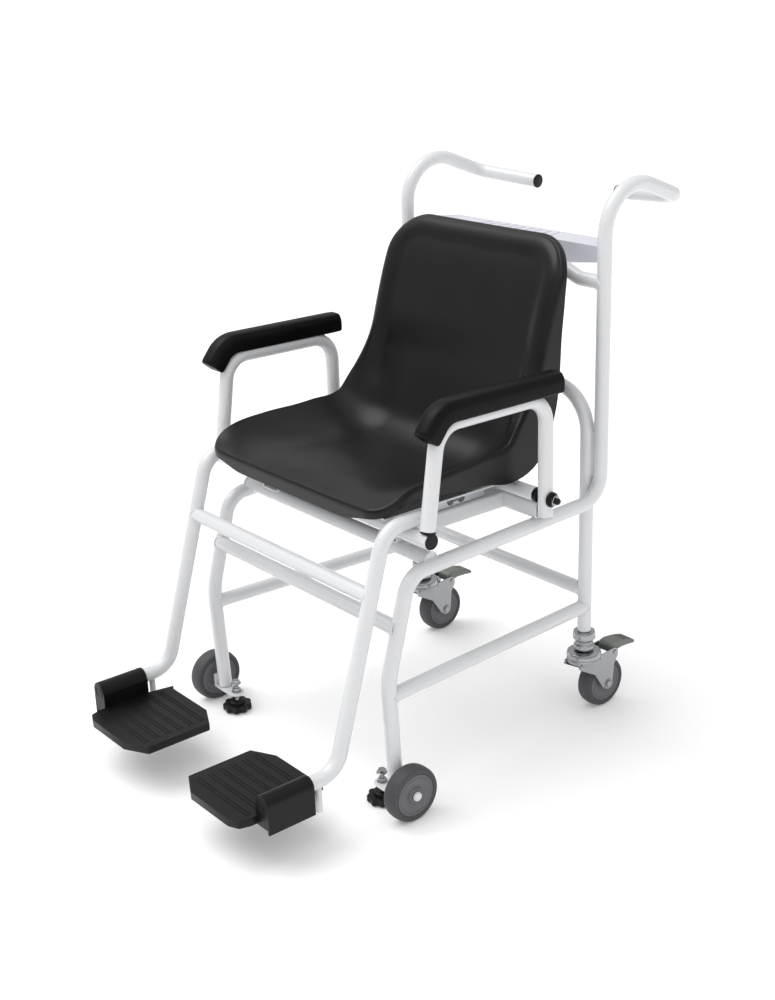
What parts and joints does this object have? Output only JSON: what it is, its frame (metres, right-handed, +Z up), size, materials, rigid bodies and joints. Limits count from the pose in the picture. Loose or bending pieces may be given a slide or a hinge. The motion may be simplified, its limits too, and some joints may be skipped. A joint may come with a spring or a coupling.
{
  "type": "mobile chair scale",
  "caption": "Wheeled chair scale with a moulded seat, flip-back armrests, folding footplates, braked swivel castors, levelling feet and a rear indicator.",
  "frame": {"origin": "centre of the bounding box at the floor", "axes": "+Z up; +X towards the sitter's left; the sitter faces -Y"},
  "size_m": [0.646, 0.99, 0.9833],
  "materials": {
    "white_coat": "gloss white powder coat on steel",
    "lilac_plastic": "fine-grained light grey plastic",
    "black_plastic": "satin black plastic",
    "seat_plastic": "fine-grained satin black moulded plastic",
    "arm_pad_foam": "soft black integral-skin foam",
    "tyre_grey": "smooth grey rubber tread",
    "hub_grey": "grey moulded plastic",
    "chrome_steel": "polished zinc or chrome plate",
    "pedal_grey": "olive-grey painted steel",
    "cell_aluminium": "machined",
    "display_glass": "smooth, dark reflective liquid-crystal display",
    "board_green": "solder-masked laminate"
  },
  "bodies": {
    "carriage": {"arm_pivot_bolt_left": "chrome_steel", "arm_pivot_bolt_right": "chrome_steel", "arm_pivot_tube": "white_coat", "arm_stop_cap_left": "black_plastic", "arm_stop_cap_right": "black_plastic", "castor_stem_left": "chrome_steel", "castor_stem_right": "chrome_steel", "foot_bracket_left": "white_coat", "foot_bracket_right": "white_coat", "footrest_cross_tube": "white_coat", "footrest_tube_left": "white_coat", "footrest_tube_right": "white_coat", "front_cross_tube_lower": "white_coat", "front_cross_tube_upper": "white_coat", "handle_cap_left": "black_plastic", "handle_cap_right": "black_plastic", "indicator_battery": "black_plastic", "indicator_board": "board_green", "indicator_bracket": "lilac_plastic", "indicator_carrier": "white_coat", "indicator_display": "display_glass", "indicator_face": "lilac_plastic", "indicator_shell": "lilac_plastic", "load_cell_left": "cell_aluminium", "load_cell_right": "cell_aluminium", "lower_side_rail_left": "white_coat", "lower_side_rail_right": "white_coat", "rear_cross_tube": "white_coat", "rear_hoop": "white_coat", "seat_rail_left": "white_coat", "seat_rail_right": "white_coat", "seat_shell": "seat_plastic", "side_tube_left": "white_coat", "side_tube_right": "white_coat", "subframe_beam_left": "white_coat", "subframe_beam_right": "white_coat", "subframe_rear_member": "white_coat", "weighed_front_tube": "white_coat"},
    "armrest_left": {"arm_tube_left": "white_coat", "arm_pad_left": "arm_pad_foam"},
    "footplate_left": {"footplate_left": "black_plastic"},
    "front_wheel_left": {"front_tyre_left": "tyre_grey", "front_hub_left": "hub_grey"},
    "castor_swivel_left": {"castor_fork_left": "chrome_steel"},
    "castor_wheel_left": {"castor_tyre_left": "tyre_grey", "castor_hub_left": "hub_grey"},
    "castor_brake_left": {"castor_brake_pedal_left": "pedal_grey"},
    "levelling_screw_left": {"levelling_spindle_left": "chrome_steel"},
    "levelling_knob_left": {"levelling_foot_left": "black_plastic"},
    "armrest_right": {"arm_tube_right": "white_coat", "arm_pad_right": "arm_pad_foam"},
    "footplate_right": {"footplate_right": "black_plastic"},
    "front_wheel_right": {"front_tyre_right": "tyre_grey", "front_hub_right": "hub_grey"},
    "castor_swivel_right": {"castor_fork_right": "chrome_steel"},
    "castor_wheel_right": {"castor_tyre_right": "tyre_grey", "castor_hub_right": "hub_grey"},
    "castor_brake_right": {"castor_brake_pedal_right": "pedal_grey"},
    "levelling_screw_right": {"levelling_spindle_right": "chrome_steel"},
    "levelling_knob_right": {"levelling_foot_right": "black_plastic"}
  },
  "joints": [
    {"name": "armrest_hinge_left", "type": "hinge", "parent": "carriage", "child": "armrest_left", "pos_m": [0.29, 0.11345, 0.483], "axis": [-1, 0, 0], "range_deg": [0, 95]},
    {"name": "footplate_hinge_left", "type": "hinge", "parent": "carriage", "child": "footplate_left", "pos_m": [0.254, -0.41405, 0.118], "axis": [0, 1, 0], "range_deg": [0, 95]},
    {"name": "front_wheel_spin_left", "type": "hinge", "parent": "carriage", "child": "front_wheel_left", "pos_m": [0.292, -0.19605, 0.048], "axis": [1, 0, 0], "continuous": true},
    {"name": "castor_swivel_spin_left", "type": "hinge", "parent": "carriage", "child": "castor_swivel_left", "pos_m": [0.2308, 0.27555, 0.118], "axis": [0, 0, 1], "continuous": true},
    {"name": "castor_wheel_spin_left", "type": "hinge", "parent": "castor_swivel_left", "child": "castor_wheel_left", "pos_m": [0.2308, 0.32095, 0.048], "axis": [1, 0, 0], "continuous": true},
    {"name": "castor_brake_press_left", "type": "hinge", "parent": "castor_swivel_left", "child": "castor_brake_left", "pos_m": [0.2308, 0.33755, 0.108], "axis": [-1, 0, 0], "range_deg": [0, 12]},
    {"name": "levelling_travel_left", "type": "slide", "parent": "carriage", "child": "levelling_screw_left", "axis": [0, 0, 1], "range_m": [0, 0.0076]},
    {"name": "levelling_turn_left", "type": "hinge", "parent": "levelling_screw_left", "child": "levelling_knob_left", "pos_m": [0.2194, -0.19745, 0.01], "axis": [0, 0, 1], "range_deg": [0, 1800]},
    {"name": "armrest_hinge_right", "type": "hinge", "parent": "carriage", "child": "armrest_right", "pos_m": [-0.29, 0.11345, 0.483], "axis": [-1, 0, 0], "range_deg": [0, 95]},
    {"name": "footplate_hinge_right", "type": "hinge", "parent": "carriage", "child": "footplate_right", "pos_m": [-0.254, -0.41405, 0.118], "axis": [0, -1, 0], "range_deg": [0, 95]},
    {"name": "front_wheel_spin_right", "type": "hinge", "parent": "carriage", "child": "front_wheel_right", "pos_m": [-0.292, -0.19605, 0.048], "axis": [1, 0, 0], "continuous": true},
    {"name": "castor_swivel_spin_right", "type": "hinge", "parent": "carriage", "child": "castor_swivel_right", "pos_m": [-0.2308, 0.27555, 0.118], "axis": [0, 0, 1], "continuous": true},
    {"name": "castor_wheel_spin_right", "type": "hinge", "parent": "castor_swivel_right", "child": "castor_wheel_right", "pos_m": [-0.2308, 0.32095, 0.048], "axis": [1, 0, 0], "continuous": true},
    {"name": "castor_brake_press_right", "type": "hinge", "parent": "castor_swivel_right", "child": "castor_brake_right", "pos_m": [-0.2308, 0.33755, 0.108], "axis": [-1, 0, 0], "range_deg": [0, 12]},
    {"name": "levelling_travel_right", "type": "slide", "parent": "carriage", "child": "levelling_screw_right", "axis": [0, 0, 1], "range_m": [0, 0.0076]},
    {"name": "levelling_turn_right", "type": "hinge", "parent": "levelling_screw_right", "child": "levelling_knob_right", "pos_m": [-0.2194, -0.19745, 0.01], "axis": [0, 0, 1], "range_deg": [0, 1800]}
  ],
  "couplings": [
    {"joint": "levelling_travel_left", "follows": "levelling_turn_left", "m_per_rad": 0.00023873},
    {"joint": "levelling_travel_right", "follows": "levelling_turn_right", "m_per_rad": 0.00023873}
  ]
}
